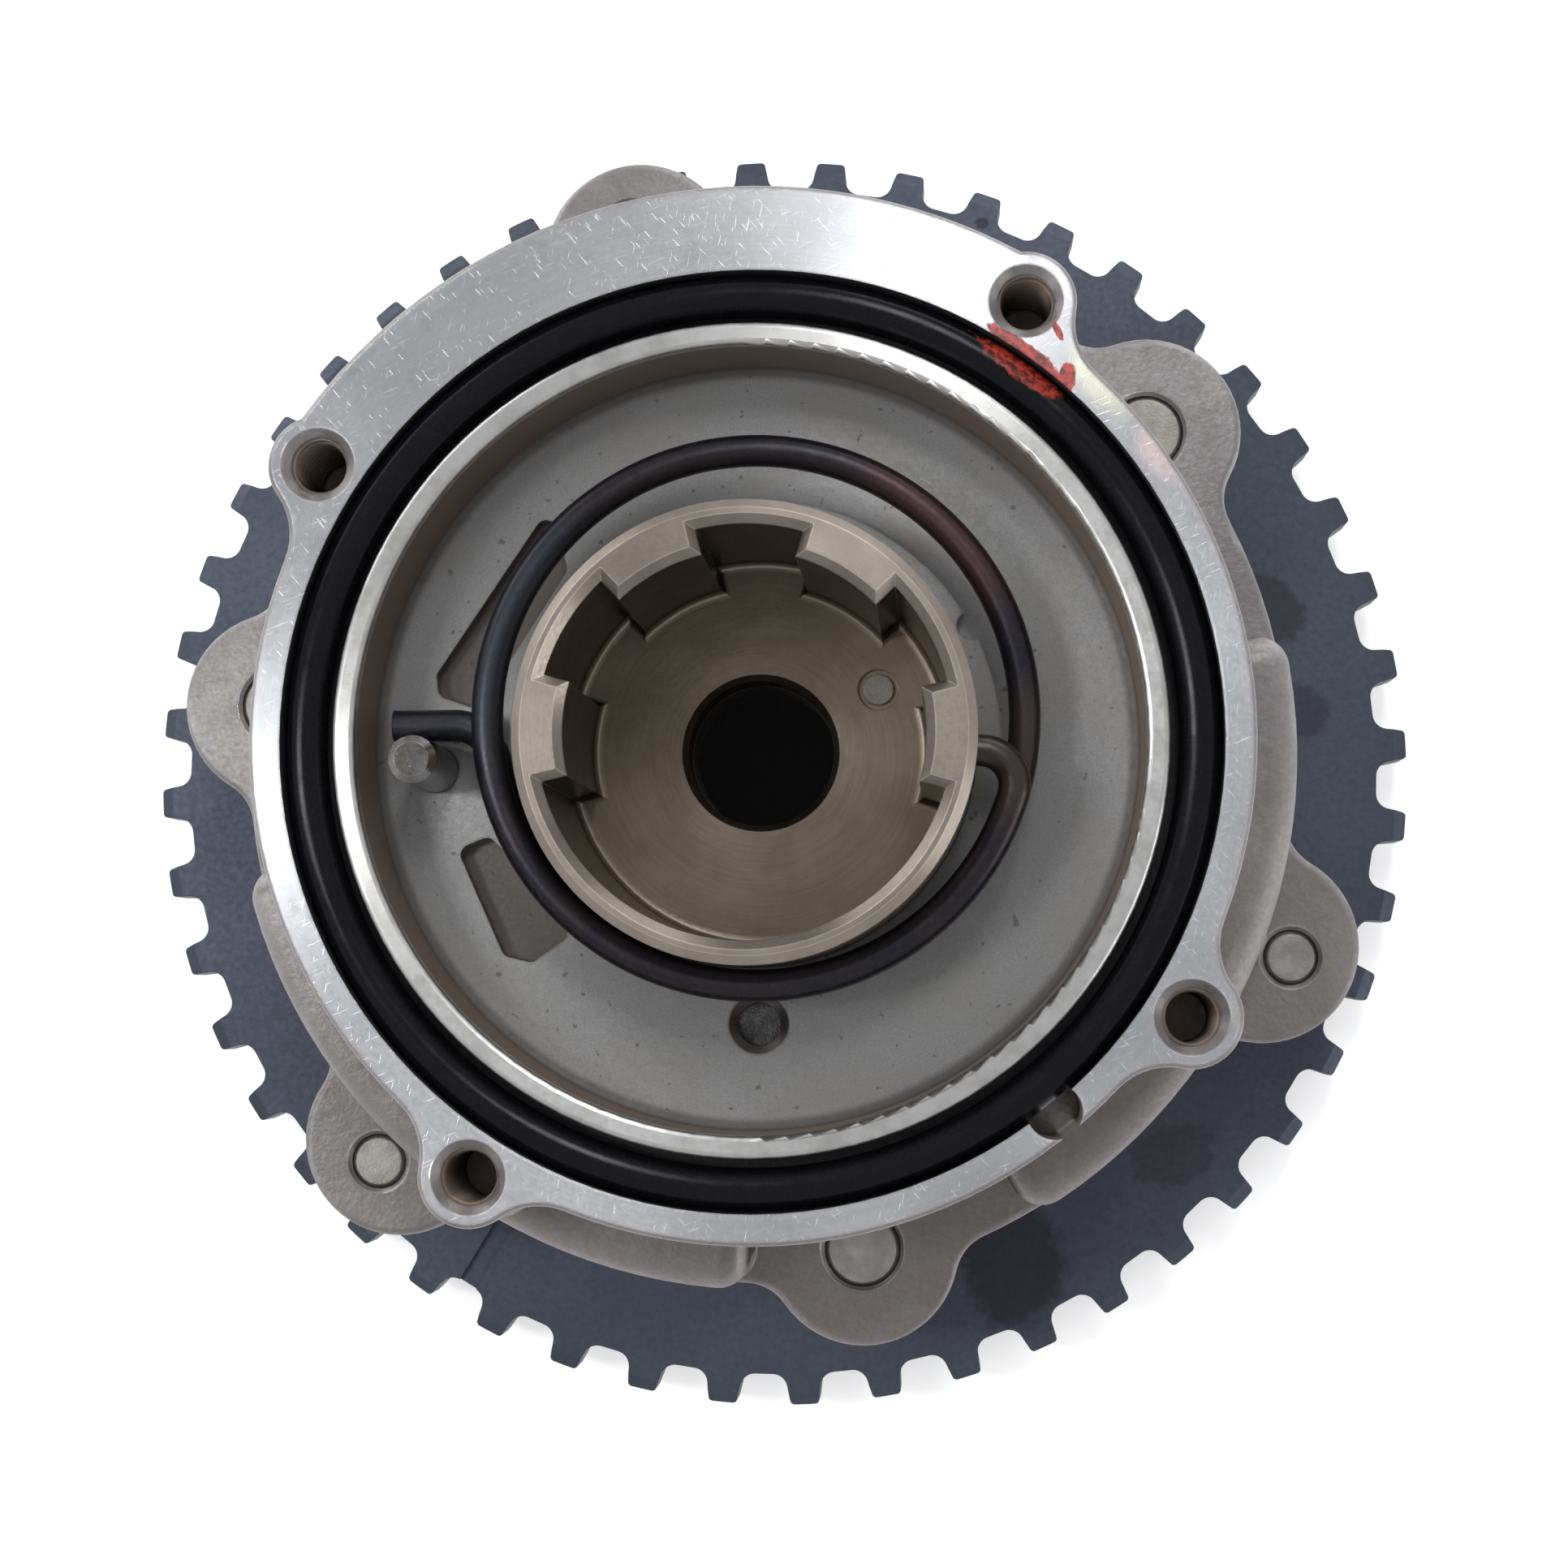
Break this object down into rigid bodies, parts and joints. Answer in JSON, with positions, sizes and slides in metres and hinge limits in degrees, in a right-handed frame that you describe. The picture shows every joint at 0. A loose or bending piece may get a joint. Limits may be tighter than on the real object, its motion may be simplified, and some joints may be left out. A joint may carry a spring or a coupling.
{
  "type": "camshaft sprocket",
  "caption": "Timing chain sprocket with a hydraulic vane phaser on its front: flanged housing with an O-ring, wound return spring and a cup-shaped hub round the centre bolt.",
  "frame": {"origin": "on the axis of rotation, at the back face of the sprocket, which is the lowest face of the part", "axes": "+Z along the axis of rotation towards the front flange and the hub's open end"},
  "size_m": [0.126, 0.126, 0.0583],
  "materials": {
    "sprocket_steel": "blue-black heat-treated steel, oily",
    "housing_aluminium": "die-cast aluminium with machined faces",
    "seal_rubber": "black nitrile rubber",
    "hub_steel": "machined steel with a brown oil tint",
    "rotor_steel": "sintered steel, machined",
    "spring_steel": "dark oiled spring wire",
    "pin_steel": "ground steel",
    "plug_steel": "dark rough steel",
    "screw_steel": "grey machined steel",
    "lock_steel": "hardened ground steel",
    "seal_plastic": "dark moulded plastic",
    "leaf_steel": "bright strip steel"
  },
  "bodies": {
    "housing": {"chain_sprocket": "sprocket_steel", "housing": "housing_aluminium", "o_ring": "seal_rubber", "torsion_spring": "spring_steel", "spring_pin": "pin_steel", "floor_plug": "plug_steel", "screw_large_1": "screw_steel", "screw_large_2": "screw_steel", "screw_large_3": "screw_steel", "screw_small_1": "screw_steel", "screw_small_2": "screw_steel", "screw_small_3": "screw_steel", "lobe_seal_1": "seal_plastic", "lobe_seal_2": "seal_plastic", "lobe_seal_3": "seal_plastic", "lobe_seal_spring_1": "leaf_steel", "lobe_seal_spring_2": "leaf_steel", "lobe_seal_spring_3": "leaf_steel", "lock_bush": "lock_steel"},
    "rotor": {"rotor": "rotor_steel", "spring_hub": "hub_steel", "hub_dowel": "pin_steel", "vane_seal_1": "seal_plastic", "vane_seal_2": "seal_plastic", "vane_seal_3": "seal_plastic", "vane_seal_spring_1": "leaf_steel", "vane_seal_spring_2": "leaf_steel", "vane_seal_spring_3": "leaf_steel", "lock_cap": "lock_steel", "lock_spring": "spring_steel"},
    "lock_pin": {"lock_pin": "lock_steel"}
  },
  "joints": [
    {"name": "rotor_turn", "type": "hinge", "parent": "housing", "child": "rotor", "pos_m": [0, 0, 0.0205], "axis": [0, 0, 1], "range_deg": [0, 30], "stiffness_Nm_per_rad": 1.2, "springref_deg": -45.84, "deforming": ["torsion_spring"]},
    {"name": "lock_pin_slide", "type": "slide", "parent": "rotor", "child": "lock_pin", "axis": [0, 0, 1], "range_m": [0, 0.0012], "stiffness_N_per_m": 600, "springref_m": -0.006, "deforming": ["lock_spring"]}
  ]
}
